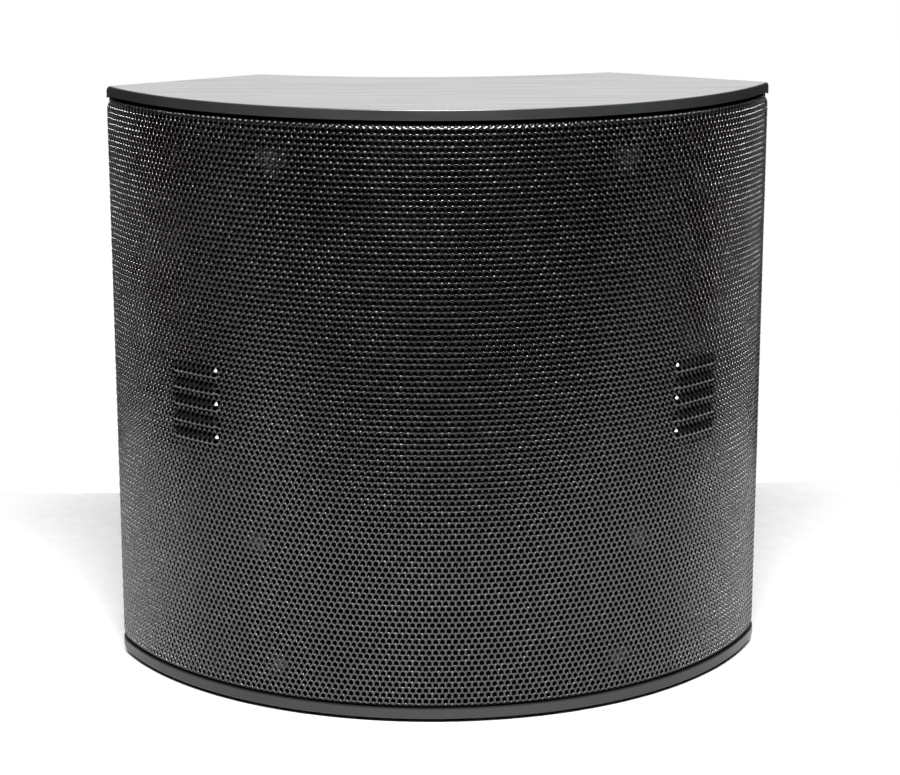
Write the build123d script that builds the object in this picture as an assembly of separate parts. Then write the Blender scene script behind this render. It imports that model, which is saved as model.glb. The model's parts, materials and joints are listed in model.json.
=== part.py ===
from build123d import *
import os
from math import sqrt, sin, cos, tan, atan2, radians

# Active subwoofer. Millimetres, +Z up, the front looks along -Y.
# The origin is the centre of the footprint, on the surface the feet stand on.

# ---- cabinet ----
WIDTH = 498.0
DEPTH = 239.0
SHELL_HEIGHT = 441.0
FOOT_HEIGHT = 3.0
PLATE = 7.5            # thickness of the wrap-around shell
FRONT_RADIUS = 268.5   # plan radius of the bowed front
BACK_WIDTH = 290.0
BACK_HOLLOW = 32.0     # how deep the rear face is dished
CORNER_RADIUS = 10.0   # outer corners, seen from the front
INNER_CORNER = 4.0
ARRIS = 1.0            # rounded front edge of the shell
CORNER_ROUND = 4.0     # front corners, seen from above
WEB_RADIUS = 11.0      # corner of the grille opening in the shell

# ---- grille ----
GRILLE_SETBACK = 1.0
GRILLE_SHEET = 1.5
GRILLE_DEPTH = 12.0
GRILLE_GAP_TOP = 3.0
GRILLE_GAP_BOTTOM = 1.0
GRILLE_EDGE = 2.8
GRILLE_CORNER = 10.2
GRILLE_OVERHANG = 1.2  # how far the grille's ends stand out of the side walls' line
GRILLE_CLEARANCE = 0.5
RIDGE_COUNT = 5
RIDGE_PITCH = 12.37
RIDGE_RADIUS = 4.5
RIDGE_SINK = 1.5       # ridge centre below the sheet's face
RIDGE_ANGLE = 43.2     # plan angle of each ridge group from the middle
RIDGE_HALF_SPAN = 4.0  # degrees
PEG_SPOTS = [(125.0, 36.0), (125.0, 404.0), (139.0, 124.0)]

# ---- baffle, back and bracing ----
BAFFLE_DEPTH = 62.0    # face of the flat middle, behind the shell's foremost line
BAFFLE = 16.0
BAFFLE_FLAT = 145.0    # half width of the flat middle
BAFFLE_EDGE = 216.0
BAFFLE_EDGE_DEPTH = 138.0
BACK_WALL = 14.0
BATTEN = 18.0
REAR_BATTEN_X0 = 114.0
REAR_BATTEN_X1 = 163.0
BACK_SCREW_X = 127.0
WADDING = 14.0
WADDING_HALF_WIDTH = 135.0
SHELF_Z = 85.0
SHELF = 12.0

# ---- woofer ----
WOOFER_Z = 262.0
FRAME_RADIUS = 131.0
FLANGE = 5.0
CUTOUT_RADIUS = 117.0
CONE_RADIUS = 98.0
COIL_RADIUS = 25.0
SCREW_CIRCLE = 126.0
WOOFER_SCREWS = 8

# ---- ports ----
PORT_X = 92.0
PORT_Z = 60.0
PORT_BORE = 20.0
PORT_WALL = 3.0
PORT_LENGTH = 125.0
PORT_FLARE = 10.0

# ---- amplifier ----
AMP_HALF_WIDTH = 103.0
AMP_Z0 = 108.0
AMP_Z1 = 384.0
AMP_SEAT_DEPTH = 205.0
AMP_PLATE = 3.0
TRAY_HALF_WIDTH = 92.0
TRAY_DEPTH = 33.0
TRAY_WALL = 2.5
SINK_Z0 = 290.0
SINK_Z1 = 376.0
SINK_FINS = 17
SINK_PITCH = 10.5
KNOB_RADIUS = 11.0
VOLUME_AT = (50.0, 254.0)
CROSSOVER_AT = (8.0, 254.0)
PHASE_AT = (-34.0, 254.0)
AUTO_AT = (-72.0, 254.0)
LED_AT = (80.0, 254.0)
JACK_AT = [(62.0, 190.0), (82.0, 190.0), (62.0, 165.0), (82.0, 165.0)]
INLET_AT = (-66.0, 148.0)
ROCKER_AT = (-66.0, 205.0)
ROCKER_TILT = 10.0
TOROID_AT = (0.0, 168.0)
TOROID_RADIUS = 40.0

# ---- feet ----
FOOT_RADIUS = 14.0
FOOT_SPOTS = [(110.0, 60.0), (150.0, 195.0)]

# ---- places worked out from the sizes above ----
FRONT_Y = -DEPTH / 2
ARC_Y = FRONT_Y + FRONT_RADIUS
WIDEST_Y = ARC_Y - sqrt(FRONT_RADIUS**2 - (WIDTH / 2) ** 2)
BACK_Y = DEPTH / 2
BACK_RADIUS = ((BACK_WIDTH / 2) ** 2 + BACK_HOLLOW**2) / (2 * BACK_HOLLOW)
BACK_ARC_Y = BACK_Y - BACK_HOLLOW + BACK_RADIUS
BOTTOM = FOOT_HEIGHT
TOP = FOOT_HEIGHT + SHELL_HEIGHT
ROOM_Z0 = BOTTOM + PLATE
ROOM_Z1 = TOP - PLATE
SIDE_RUN = Vector(BACK_WIDTH / 2 - WIDTH / 2, BACK_Y - WIDEST_Y).normalized()
SIDE_NORMAL = Vector(SIDE_RUN.Y, -SIDE_RUN.X)
GRILLE_RADIUS = FRONT_RADIUS - GRILLE_SETBACK
GRILLE_Z0 = ROOM_Z0 + GRILLE_GAP_BOTTOM
GRILLE_Z1 = ROOM_Z1 - GRILLE_GAP_TOP
FAR = 400.0


def deep(distance):
    """Y of a point that lies this far behind the shell's foremost line."""
    return FRONT_Y + distance


BAFFLE_Y = deep(BAFFLE_DEPTH)
SEAT_Y = deep(AMP_SEAT_DEPTH)
FACE_Y = SEAT_Y + AMP_PLATE


# ---- shape helpers ----
def block(x0, x1, y0, y1, z0, z1):
    return Pos((x0 + x1) / 2, (y0 + y1) / 2, (z0 + z1) / 2) * Box(x1 - x0, y1 - y0, z1 - z0)


def rod(x, z, y0, y1, radius):
    """Cylinder along Y."""
    return Pos(x, (y0 + y1) / 2, z) * Rot(90, 0, 0) * Cylinder(radius, y1 - y0)


def post(x, y, z0, z1, radius):
    """Cylinder along Z."""
    return Pos(x, y, (z0 + z1) / 2) * Cylinder(radius, z1 - z0)


def ring(x, z, y0, y1, outer, inner):
    return rod(x, z, y0, y1, outer) - rod(x, z, y0, y1, inner)


def prism(points, z0, z1):
    """Straight-sided outline in plan, pulled up from z0 to z1."""
    outline = make_face(Polyline(*points, close=True))
    return Pos(0, 0, z0) * extrude(outline, z1 - z0)


def turned(points, x, z):
    """Outline of (radius, y) points turned about a line along Y through x, z."""
    outline = make_face(Polyline(*points, close=True))
    return Pos(x, 0, z) * revolve(outline, Axis.Y)


def both_sides(points):
    """The points and, in reverse order, their mirror images across X = 0."""
    return points + [(-x, y) for x, y in reversed(points)]


def side_point(inset, along):
    """Point on the right side wall, inset from its outer face, along it from the widest line."""
    start = Vector(WIDTH / 2, WIDEST_Y) - SIDE_NORMAL * inset
    spot = start + SIDE_RUN * along
    return (spot.X, spot.Y)


def side_y(x, inset):
    """Y at which the right side wall, inset from its outer face, crosses x."""
    start = Vector(WIDTH / 2, WIDEST_Y) - SIDE_NORMAL * inset
    return start.Y + SIDE_RUN.Y * (start.X - x) / -SIDE_RUN.X


def between_sides(inset, z0, z1):
    """Everything between the two side walls' planes, moved in by inset."""
    edge = WIDTH / 2 + 5
    right = [(edge, FRONT_Y - 5), (edge, side_y(edge, inset)), side_point(inset, 180)]
    return prism(both_sides(right), z0, z1)


def front_column(radius, z0, z1):
    return post(0, ARC_Y, z0, z1, radius)


def back_column(radius, z0, z1):
    return post(0, BACK_ARC_Y, z0, z1, radius)


def screw(x, z, y_head, towards, shank, length, head, head_height, recess=True):
    """Pan-head screw along Y whose head sits on y_head and whose shank runs towards +1 or -1."""
    body = rod(x, z, *sorted((y_head, y_head + towards * length)), shank)
    cap = rod(x, z, *sorted((y_head, y_head - towards * head_height)), head)
    if not recess:
        return body + cap
    tip = y_head - towards * head_height
    slot_y = sorted((tip, tip + towards * head_height * 0.5))
    cross = block(x - head * 0.6, x + head * 0.6, *slot_y, z - 0.45, z + 0.45)
    cross += block(x - 0.45, x + 0.45, *slot_y, z - head * 0.6, z + head * 0.6)
    return body + cap - cross


# ---- cabinet ----
def room():
    """Space inside the shell, open at the front and the back."""
    space = between_sides(PLATE, ROOM_Z0, ROOM_Z1)
    long_edges = [e for e in space.edges() if abs(e.tangent_at(0.5).Z) < 0.01 and abs(e.center().X) > 60]
    long_edges = [e for e in long_edges if abs(abs(e.tangent_at(0.5).X) - abs(SIDE_RUN.X)) < 0.01]
    return fillet(long_edges, INNER_CORNER)


def make_shell(space):
    half = WIDTH / 2
    rear = BACK_WIDTH / 2
    front = ThreePointArc((-half, WIDEST_Y), (0, FRONT_Y), (half, WIDEST_Y))
    right = Line((half, WIDEST_Y), (rear, BACK_Y))
    back = ThreePointArc((rear, BACK_Y), (0, BACK_Y - BACK_HOLLOW), (-rear, BACK_Y))
    left = Line((-rear, BACK_Y), (-half, WIDEST_Y))
    outside = Pos(0, 0, BOTTOM) * extrude(make_face([front, right, back, left]), SHELL_HEIGHT)
    side_edges = [
        e
        for e in outside.edges()
        if e.geom_type == GeomType.LINE and abs(e.tangent_at(0.5).Z) < 0.01
    ]
    shell = fillet(side_edges, CORNER_RADIUS) - space - grille_space()
    arris = [
        e
        for e in shell.edges()
        if e.center().Z not in (ROOM_Z0, ROOM_Z1)
        and e.geom_type != GeomType.LINE
        and all(on_front(e, t) for t in (0.05, 0.5, 0.95))
        and not (ROOM_Z0 - 0.1 < e.center().Z < ROOM_Z1 + 0.1)
    ]
    return fillet(arris, ARRIS) - corner_trim(1) - corner_trim(-1)


def corner_trim(side):
    """What rounding takes off one front corner of the shell, top to bottom."""
    corner = Vector(WIDTH / 2, WIDEST_Y)
    along_front = Vector(-(ARC_Y - WIDEST_Y), -WIDTH / 2) / FRONT_RADIUS
    along_side = Vector(BACK_WIDTH / 2 - WIDTH / 2, BACK_Y - WIDEST_Y).normalized()
    half_angle = radians(along_front.get_angle(along_side)) / 2
    reach = CORNER_ROUND / tan(half_angle)
    centre = corner + (along_front + along_side).normalized() * (CORNER_ROUND / sin(half_angle))
    rim = [centre, corner + along_front * reach, corner, corner + along_side * reach]
    past = [centre] + [centre + (spot - centre) * 1.5 for spot in rim[1:]]
    outline = Polyline([(side * spot.X, spot.Y) for spot in past], close=True)
    circle = Pos(side * centre.X, centre.Y, 0) * Cylinder(CORNER_ROUND, 2 * FAR)
    return Pos(0, 0, -1) * extrude(make_face(outline), TOP + 2) - circle


def on_front(edge, t):
    spot = edge.position_at(t)
    return abs(sqrt(spot.X**2 + (spot.Y - ARC_Y) ** 2) - FRONT_RADIUS) < 0.05


def grille_space():
    """What the grille and its rolled rim take out of the shell's side walls."""
    cut = between_sides(-GRILLE_OVERHANG - GRILLE_CLEARANCE, ROOM_Z0, ROOM_Z1)
    cut &= block(-FAR, FAR, FRONT_Y - 5, BACK_Y - 20, 0, TOP)
    corner = [
        e
        for e in cut.edges()
        if abs(e.tangent_at(0.5).Z) < 0.01 and abs(abs(e.tangent_at(0.5).X) - abs(SIDE_RUN.X)) < 0.01
    ]
    cut = fillet(corner, WEB_RADIUS)
    return cut - front_column(GRILLE_RADIUS - GRILLE_DEPTH - 0.7, 0, TOP + 10)


def grille_pan(inset):
    """Solid grille outline, moved in by inset on every side but the back."""
    pan = between_sides(inset - GRILLE_OVERHANG, GRILLE_Z0 + inset, GRILLE_Z1 - inset)
    corner = [
        e
        for e in pan.edges()
        if abs(e.tangent_at(0.5).Z) < 0.01 and abs(abs(e.tangent_at(0.5).X) - abs(SIDE_RUN.X)) < 0.01
    ]
    pan = fillet(corner, GRILLE_CORNER - inset)
    pan = pan & front_column(GRILLE_RADIUS - inset, 0, TOP) & block(-FAR, FAR, FRONT_Y - 5, BACK_Y, 0, TOP)
    front_face = [f for f in pan.faces() if is_column_face(f, GRILLE_RADIUS - inset)]
    return fillet(front_face[0].edges(), GRILLE_EDGE - inset)


def is_column_face(face, radius):
    spot = face.position_at(0.5, 0.5)
    return face.geom_type == GeomType.CYLINDER and abs(Vector(spot.X, spot.Y - ARC_Y).length - radius) < 0.05


def ridges(radius):
    """The finger ridges pressed into both flanks of the grille."""
    centre = GRILLE_RADIUS - RIDGE_SINK
    middle = (GRILLE_Z0 + GRILLE_Z1) / 2
    bars = []
    for side in (-1, 1):
        for row in range(RIDGE_COUNT):
            z = middle + (row - (RIDGE_COUNT - 1) / 2) * RIDGE_PITCH
            start = side * RIDGE_ANGLE - RIDGE_HALF_SPAN
            section = Pos(0, -centre, 0) * Rot(90, 90, 0) * Circle(radius)
            bar = revolve(section, Axis.Z, 2 * RIDGE_HALF_SPAN)
            for angle in (0, 2 * RIDGE_HALF_SPAN):
                bar += Rot(0, 0, angle) * Pos(0, -centre, 0) * Sphere(radius)
            bars.append(Pos(0, ARC_Y, z) * Rot(0, 0, start) * bar)
    return bars


def make_grille():
    hollow = grille_pan(GRILLE_SHEET)
    keep_back = front_column(GRILLE_RADIUS - GRILLE_DEPTH, 0, TOP)
    grille = grille_pan(0.0)
    for bar in ridges(RIDGE_RADIUS):
        grille += bar
    grille -= hollow
    for bar in ridges(RIDGE_RADIUS - GRILLE_SHEET):
        grille -= bar
    return grille - keep_back


def peg_spots():
    return [(side * x, z) for x, z in PEG_SPOTS for side in (-1, 1)]


def make_pegs():
    """Stepped studs welded to the inside of the grille; their tips push into the cups."""
    inside = front_column(GRILLE_RADIUS - GRILLE_SHEET, 0, TOP)
    pegs = []
    for x, z in peg_spots():
        stud = rod(x, z, FRONT_Y, BAFFLE_Y - 0.5, 4.5) & inside
        pegs.append(stud + rod(x, z, BAFFLE_Y - 0.5, BAFFLE_Y + 9, 2.95))
    return pegs


def make_cups():
    cups = []
    for x, z in peg_spots():
        cup = rod(x, z, BAFFLE_Y, BAFFLE_Y + 12, 5.5) - rod(x, z, BAFFLE_Y, BAFFLE_Y + 10, 3.0)
        cups.append(cup)
    return cups


# ---- baffle, back and bracing ----
def baffle_line(inset):
    """Right half of the baffle's outline in plan, from the middle out to the side wall."""
    slope = Vector(BAFFLE_EDGE - BAFFLE_FLAT, BAFFLE_EDGE_DEPTH - BAFFLE_DEPTH).normalized()
    turn = atan2(slope.Y, slope.X)
    first = BAFFLE_FLAT - inset * sin(turn / 2) / cos(turn / 2)
    edge_x = BAFFLE_EDGE - inset
    along = (edge_x - first) / slope.X
    y = BAFFLE_Y + inset
    return [(first, y), (edge_x, y + slope.Y * along), (edge_x, BACK_Y + 10)]


def ahead_of_baffle(inset):
    """Everything in front of the baffle's face, moved back by inset."""
    behind = prism(both_sides(baffle_line(inset)), -10, TOP + 10)
    return block(-FAR, FAR, -FAR, BACK_Y + 5, -5, TOP + 5) - behind


def make_baffle(space, fittings):
    baffle = space - ahead_of_baffle(0.0)
    baffle &= ahead_of_baffle(BAFFLE)
    baffle -= rod(0, WOOFER_Z, BAFFLE_Y - 1, BAFFLE_Y + BAFFLE + 1, CUTOUT_RADIUS)
    baffle -= rod(0, WOOFER_Z, BAFFLE_Y - 1, BAFFLE_Y + FLANGE, FRAME_RADIUS + 0.3)
    for fitting in fittings:
        baffle -= fitting
    return baffle


def make_back(space, fittings):
    wall = space & back_column(BACK_RADIUS + BACK_WALL, 0, TOP)
    well = 8.5
    frame = block(
        -AMP_HALF_WIDTH - well, AMP_HALF_WIDTH + well, SEAT_Y - BACK_WALL, BACK_Y, AMP_Z0 - well, AMP_Z1 + well
    )
    wall = (wall + frame) - back_column(BACK_RADIUS, 0, TOP + 5)
    wall -= block(
        -AMP_HALF_WIDTH - 0.5, AMP_HALF_WIDTH + 0.5, SEAT_Y, BACK_Y + 5, AMP_Z0 - 0.5, AMP_Z1 + 0.5
    )
    window = TRAY_HALF_WIDTH + 1.5
    wall -= block(-window, window, 0, BACK_Y, AMP_Z0 + 9, AMP_Z1 - 9)
    for fitting in fittings:
        wall -= fitting
    return wall


def interior(space):
    """Air space behind the baffle and in front of the back wall."""
    return space - ahead_of_baffle(BAFFLE) - back_column(BACK_RADIUS + BACK_WALL, 0, TOP + 5)


def batten_outline(x_outer, x_inner):
    return [
        (x_outer, side_y(x_outer, PLATE)),
        (x_inner, side_y(x_inner, PLATE)),
        (x_inner, side_y(x_inner, PLATE) - BATTEN * 1.2),
        (x_outer, side_y(x_outer, PLATE) - BATTEN * 1.2),
    ]


def make_front_battens(air):
    right = prism(batten_outline(BAFFLE_EDGE - BAFFLE, BAFFLE_EDGE - BAFFLE - BATTEN), 0, TOP) & air
    return [right, mirror(right, Plane.YZ)]


def make_rear_battens(air):
    """Corner battens that the back panel is screwed to."""
    corner_y = side_y(REAR_BATTEN_X1, PLATE)
    right = block(REAR_BATTEN_X0, REAR_BATTEN_X1, corner_y - 24, corner_y + 5, 0, TOP) & air
    return [right, mirror(right, Plane.YZ)]


def make_shelf(air, battens):
    slab = air & block(-FAR, FAR, -FAR, FAR, SHELF_Z, SHELF_Z + SHELF)
    for x in (-115.0, 0.0, 115.0):
        hole = block(x - 38, x + 38, BAFFLE_Y + BAFFLE + 22, BAFFLE_Y + BAFFLE + 88, 0, TOP)
        slab -= fillet(hole.edges().filter_by(Axis.Z), 12)
    for batten in battens:
        slab -= batten
    return slab


def make_damping():
    """Wadding glued under the top plate and laid on the bottom plate."""
    front = BAFFLE_Y + BAFFLE + 6
    rear = SEAT_Y - BACK_WALL - 6
    pads = []
    for low in (ROOM_Z1 - WADDING, ROOM_Z0):
        pad = block(-WADDING_HALF_WIDTH, WADDING_HALF_WIDTH, front, rear, low, low + WADDING)
        pads.append(fillet(pad.edges().filter_by(Axis.Z), 10))
    return pads


# ---- woofer ----
def driver(distance):
    """Y of a point this far behind the front face of the woofer's flange."""
    return BAFFLE_Y + distance


def basket_envelope():
    """Solid cone that the basket's arms follow."""
    return turned([(0, driver(7)), (116, driver(7)), (66, driver(60)), (0, driver(60))], 0, WOOFER_Z)


def make_basket(screws):
    flange = ring(0, WOOFER_Z, driver(0), driver(FLANGE), FRAME_RADIUS, 112)
    flange += ring(0, WOOFER_Z, driver(FLANGE), driver(9), 116, 112)
    ledge = ring(0, WOOFER_Z, driver(44), driver(47), 82, 57)
    rear = ring(0, WOOFER_Z, driver(56), driver(60), 66, 28)
    wall = turned([(116, driver(7)), (66, driver(60)), (62, driver(60)), (112, driver(7))], 0, WOOFER_Z)
    outer = basket_envelope()
    arms = 6
    for arm in range(arms):
        window = block(-23, 23, driver(11), driver(42), 60, 140)
        window += block(-14, 14, driver(49), driver(56), 40, 140)
        wall -= Pos(0, 0, WOOFER_Z) * Rot(0, 360 / arms * (arm + 0.5), 0) * window
    basket = flange + wall + (ledge & outer) + rear
    for piece in screws:
        basket -= piece
    return basket


def make_motor():
    """Top plate, ring magnet and the yoke with its vented pole."""
    top = ring(0, WOOFER_Z, driver(60), driver(68), 64, 27)
    magnet = ring(0, WOOFER_Z, driver(68), driver(90), 70, 38)
    yoke = rod(0, WOOFER_Z, driver(90), driver(98), 64) + rod(0, WOOFER_Z, driver(58), driver(90), 24.2)
    yoke -= rod(0, WOOFER_Z, driver(50), driver(99), 8)
    return top, magnet, yoke


def make_cone():
    """Curved cone body, a little deeper than a straight one."""
    inner = COIL_RADIUS + 0.6
    shape = Spline(
        (inner, driver(36)), (50, driver(25)), (78, driver(10)), (CONE_RADIUS, driver(0))
    )
    back = Spline((CONE_RADIUS, driver(1.4)), (78, driver(11.5)), (50, driver(26.7)), (inner, driver(38)))
    edges = [
        shape,
        Line((CONE_RADIUS, driver(0)), (CONE_RADIUS, driver(1.4))),
        back,
        Line((inner, driver(38)), (inner, driver(36))),
    ]
    return Pos(0, 0, WOOFER_Z) * revolve(make_face(edges), Axis.Y)


def make_surround():
    """Half-roll of rubber between the cone's rim and the flange."""
    roll = 8.0
    middle = 106.0
    skin = 1.2
    flat = driver(0)
    edges = [
        Line((CONE_RADIUS - 4, flat), (middle - roll, flat)),
        ThreePointArc((middle - roll, flat), (middle, flat - roll), (middle + roll, flat)),
        Line((middle + roll, flat), (119, flat)),
        Line((119, flat), (119, flat - skin)),
        Line((119, flat - skin), (middle + roll + skin, flat - skin)),
        ThreePointArc(
            (middle + roll + skin, flat - skin), (middle, flat - roll - skin), (middle - roll - skin, flat - skin)
        ),
        Line((middle - roll - skin, flat - skin), (CONE_RADIUS - 4, flat - skin)),
        Line((CONE_RADIUS - 4, flat - skin), (CONE_RADIUS - 4, flat)),
    ]
    return Pos(0, 0, WOOFER_Z) * revolve(make_face(edges), Axis.Y)


def make_dust_cap():
    """Thin spherical cap whose rim is seated on the cone."""
    rim = 36.0
    rise = 12.0
    skin = 1.2
    radius = (rim**2 + rise**2) / (2 * rise)
    centre = driver(20) + radius
    inner_rim = rim * (radius - skin) / radius

    def on_cap(reach, r):
        return (r, centre - sqrt(reach**2 - r**2))

    edges = [
        ThreePointArc(on_cap(radius, 0), on_cap(radius, rim / 2), on_cap(radius, rim)),
        Line(on_cap(radius, rim), on_cap(radius - skin, inner_rim)),
        ThreePointArc(
            on_cap(radius - skin, inner_rim), on_cap(radius - skin, rim / 2), on_cap(radius - skin, 0)
        ),
        Line(on_cap(radius - skin, 0), on_cap(radius, 0)),
    ]
    return Pos(0, 0, WOOFER_Z) * revolve(make_face(edges), Axis.Y)


def make_coil():
    former = ring(0, WOOFER_Z, driver(32), driver(76), COIL_RADIUS + 0.6, COIL_RADIUS)
    winding = ring(0, WOOFER_Z, driver(56), driver(75), COIL_RADIUS + 1.5, COIL_RADIUS + 0.6)
    return former, winding


def make_spider():
    """Corrugated suspension disc between the coil former and the basket's ledge."""
    waves = 5
    inner = COIL_RADIUS + 0.6
    first = inner + 3
    last = 55.0
    y = driver(43.4)
    step = (last - first) / (2 * waves)
    front = [(inner, y), (first, y)]
    for wave in range(2 * waves):
        side = 1 if wave % 2 else -1
        front.append((first + step * (wave + 0.5), y + 1.6 * side))
    front += [(last, y), (64, y)]
    back = [(r, py + 0.6) for r, py in reversed(front)]
    return turned(front + back, 0, WOOFER_Z)


def woofer_screw_solids():
    screws = []
    for index in range(WOOFER_SCREWS):
        angle = radians(360 / WOOFER_SCREWS * (index + 0.5))
        x = SCREW_CIRCLE * sin(angle)
        z = WOOFER_Z + SCREW_CIRCLE * cos(angle)
        screws.append(screw(x, z, driver(-1.5), 1, 2.0, 20, 3.8, 2.2))
    return screws


def make_woofer_gasket(screws):
    gasket = ring(0, WOOFER_Z, driver(-1.5), driver(0), FRAME_RADIUS, 120)
    for piece in screws:
        gasket -= piece
    return gasket


def make_terminals():
    """Tag strip on the lowest arm of the basket."""
    low = WOOFER_Z - 105
    strip = block(-12, 12, driver(22), driver(28), low, WOOFER_Z - 92) - basket_envelope()
    tags = []
    for x in (-7.0, 7.0):
        tags.append(block(x - 2.4, x + 2.4, driver(23), driver(38), low - 0.8, low))
    return strip, tags


# ---- ports ----
def make_port(side):
    x = side * PORT_X
    outer = PORT_BORE + PORT_WALL
    tube = ring(x, PORT_Z, BAFFLE_Y + BAFFLE, BAFFLE_Y + PORT_LENGTH, outer, PORT_BORE)
    lip = PORT_FLARE
    y = BAFFLE_Y
    edges = [
        ThreePointArc(
            (PORT_BORE, y + lip - 3),
            (PORT_BORE + lip * (1 - cos(radians(45))), y + lip * (1 - sin(radians(45))) - 3),
            (PORT_BORE + lip, y - 3),
        ),
        Line((PORT_BORE + lip, y - 3), (PORT_BORE + lip + 1, y)),
        Line((PORT_BORE + lip + 1, y), (outer, y)),
        Line((outer, y), (outer, y + BAFFLE)),
        Line((outer, y + BAFFLE), (PORT_BORE, y + BAFFLE)),
        Line((PORT_BORE, y + BAFFLE), (PORT_BORE, y + lip - 3)),
    ]
    flare = Pos(x, 0, PORT_Z) * revolve(make_face(edges), Axis.Y)
    return tube, flare


# ---- amplifier ----
def spread(places, make):
    return [make(x, z) for x, z in places]


def amp_screw_solids():
    x = AMP_HALF_WIDTH - 4.5
    low = AMP_Z0 + 4.5
    high = AMP_Z1 - 4.5
    rows = [low, low + (high - low) / 3, low + 2 * (high - low) / 3, high]
    spots = [(side * x, z) for side in (-1, 1) for z in rows]
    spots += [(0.0, low), (0.0, high)]
    return spread(spots, lambda px, pz: screw(px, pz, FACE_Y, -1, 1.9, 14, 3.4, 2.0))


def plate_windows():
    """What is cut through the amplifier plate for the controls and sockets."""
    low = SEAT_Y - 1
    high = FACE_Y + 1
    windows = [rod(x, z, low, high, 3.65) for x, z in (VOLUME_AT, CROSSOVER_AT)]
    windows += [block(x - 8, x + 8, low, high, z - 3.8, z + 3.8) for x, z in (PHASE_AT, AUTO_AT)]
    windows += [rod(x, z, low, high, 4.9) for x, z in JACK_AT]
    for (x, z), half_x, half_z in ((ROCKER_AT, 10.5, 14), (INLET_AT, 14.5, 18)):
        windows.append(block(x - half_x, x + half_x, low, high, z - half_z, z + half_z))
    windows.append(rod(*TOROID_AT, low, high, 3))
    windows.append(rod(*LED_AT, low, high, 2.5))
    return windows


def make_amp_plate(cutters):
    plate = block(-AMP_HALF_WIDTH, AMP_HALF_WIDTH, SEAT_Y, FACE_Y, AMP_Z0, AMP_Z1)
    plate = fillet(plate.edges().filter_by(Axis.Y), 4)
    for cutter in cutters:
        plate -= cutter
    return plate


def make_tray():
    low = AMP_Z0 + 10.5
    high = AMP_Z1 - 10.5
    tray = block(-TRAY_HALF_WIDTH, TRAY_HALF_WIDTH, SEAT_Y - TRAY_DEPTH, SEAT_Y, low, high)
    tray = fillet(tray.edges().filter_by(Axis.Y), 5)
    inner = TRAY_HALF_WIDTH - TRAY_WALL
    hollow = block(-inner, inner, SEAT_Y - TRAY_DEPTH + TRAY_WALL, SEAT_Y + 1, low + TRAY_WALL, high - TRAY_WALL)
    return tray - fillet(hollow.edges().filter_by(Axis.Y), 3)


def make_heatsink():
    base = 4.0
    fin = 2.0
    reach = 18.0
    half = (SINK_FINS - 1) * SINK_PITCH / 2
    sink = block(-half - 2, half + 2, FACE_Y, FACE_Y + base, SINK_Z0, SINK_Z1)
    for index in range(SINK_FINS):
        x = -half + index * SINK_PITCH
        sink += block(x - fin / 2, x + fin / 2, FACE_Y + base, FACE_Y + base + reach, SINK_Z0, SINK_Z1)
    return sink


def make_board():
    """Power board behind the heatsink, with its stand-offs to the plate."""
    board = block(-78, 78, SEAT_Y - 13.6, SEAT_Y - 12, 284, 364)
    posts = [rod(x, z, SEAT_Y - 12, SEAT_Y, 3) for x in (-72, 72) for z in (290, 358)]
    return board, posts


def make_capacitors():
    return [rod(x, 336, SEAT_Y - 29, SEAT_Y - 13.6, 11) for x in (-52, -26, 0)]


def make_power_devices():
    devices = [block(x - 8, x + 8, SEAT_Y - 5, SEAT_Y, 296, 316) for x in (-50, -25, 25, 50)]
    return [device - rod(device.center().X, 311, SEAT_Y - 6, SEAT_Y + 1, 1.7) for device in devices]


def make_toroid():
    x, z = TOROID_AT
    core = ring(x, z, SEAT_Y - 28, SEAT_Y - 2, TOROID_RADIUS, 13)
    core = fillet(core.edges(), 5)
    pad = ring(x, z, SEAT_Y - 2, SEAT_Y, TOROID_RADIUS - 3, 8)
    washer = rod(x, z, SEAT_Y - 29.5, SEAT_Y - 28, 22) - rod(x, z, SEAT_Y - 30, SEAT_Y, 3)
    bolt = rod(x, z, SEAT_Y - 29.5, FACE_Y, 3) + rod(x, z, FACE_Y, FACE_Y + 3, 5.5)
    socket = Pos(x, FACE_Y + 2.2, z) * Rot(90, 0, 0) * extrude(RegularPolygon(2.5, 6), 0.9, both=True)
    return core, pad, washer, bolt - socket


def make_pot(x, z):
    body = block(x - 8.5, x + 8.5, SEAT_Y - 10, SEAT_Y - 1, z - 8.5, z + 8.5)
    bush = rod(x, z, SEAT_Y - 1, FACE_Y + 3.5, 3.6)
    return body + bush - rod(x, z, SEAT_Y - 8, FACE_Y + 10, 3.05)


def make_pot_nut(x, z):
    nut = Pos(x, FACE_Y, z) * Rot(90, 0, 0) * extrude(RegularPolygon(5.8, 6), -2.2)
    return nut - rod(x, z, FACE_Y - 5, FACE_Y + 5, 3.6)


def make_shaft(x, z):
    return rod(x, z, SEAT_Y - 7.5, FACE_Y + 15, 3.0)


def make_knob(x, z):
    """Skirted knob with finger flutes and a pointer groove."""
    low = FACE_Y + 1.0
    high = FACE_Y + 18.0
    knob = turned(
        [(0, low), (KNOB_RADIUS, low), (KNOB_RADIUS, low + 3), (KNOB_RADIUS - 1.4, low + 4),
         (KNOB_RADIUS - 2.0, high - 1), (KNOB_RADIUS - 3.0, high), (0, high)],
        x,
        z,
    )
    for flute in range(18):
        angle = radians(360 / 18 * (flute + 0.5))
        px = x + (KNOB_RADIUS - 0.7) * sin(angle)
        pz = z + (KNOB_RADIUS - 0.7) * cos(angle)
        knob -= rod(px, pz, low + 4.5, high + 1, 1.0)
    knob -= block(x - 0.6, x + 0.6, high - 0.8, high + 1, z + 1.5, z + KNOB_RADIUS)
    knob -= rod(x, z, low - 1, low + 4, 7.2)
    return knob - rod(x, z, low, FACE_Y + 15, 3.0)


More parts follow.
